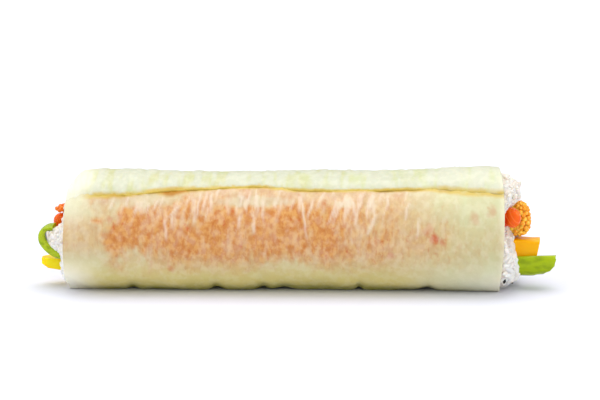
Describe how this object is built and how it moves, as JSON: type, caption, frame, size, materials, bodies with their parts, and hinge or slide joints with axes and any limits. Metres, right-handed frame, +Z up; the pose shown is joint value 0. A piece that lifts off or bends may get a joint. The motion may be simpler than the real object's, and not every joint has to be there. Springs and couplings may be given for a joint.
{
  "type": "sushi burrito",
  "caption": "Long cut-free sushi roll in a thin translucent wrap with one overlapping edge; rice, salmon, roe and pepper strips stand out of its open ends.",
  "frame": {"origin": "middle of the flat strip along the underside, about halfway between the wrap's two ends", "axes": "+X along the roll towards the end where the fillings stand out further, -Y towards the side where the free edge of the wrap shows, +Z up"},
  "size_m": [0.2225, 0.0572, 0.0518],
  "materials": {
    "wrap": "thin translucent pale green wrap, satin, orange-tan blotches along the front",
    "rice": "cooked white rice grains, moist",
    "salmon": "raw salmon, red-orange with pale marbling, wet",
    "roe": "golden orange fish roe, glossy and translucent",
    "yellow_pepper": "golden yellow pepper baton, glossy",
    "green_pepper": "green pepper strip, darker glossy skin and paler flesh"
  },
  "bodies": {
    "root": {"wrap": "wrap", "rice": "rice", "salmon": "salmon", "roe": "roe", "yellow_pepper": "yellow_pepper", "green_pepper": "green_pepper"}
  },
  "joints": []
}
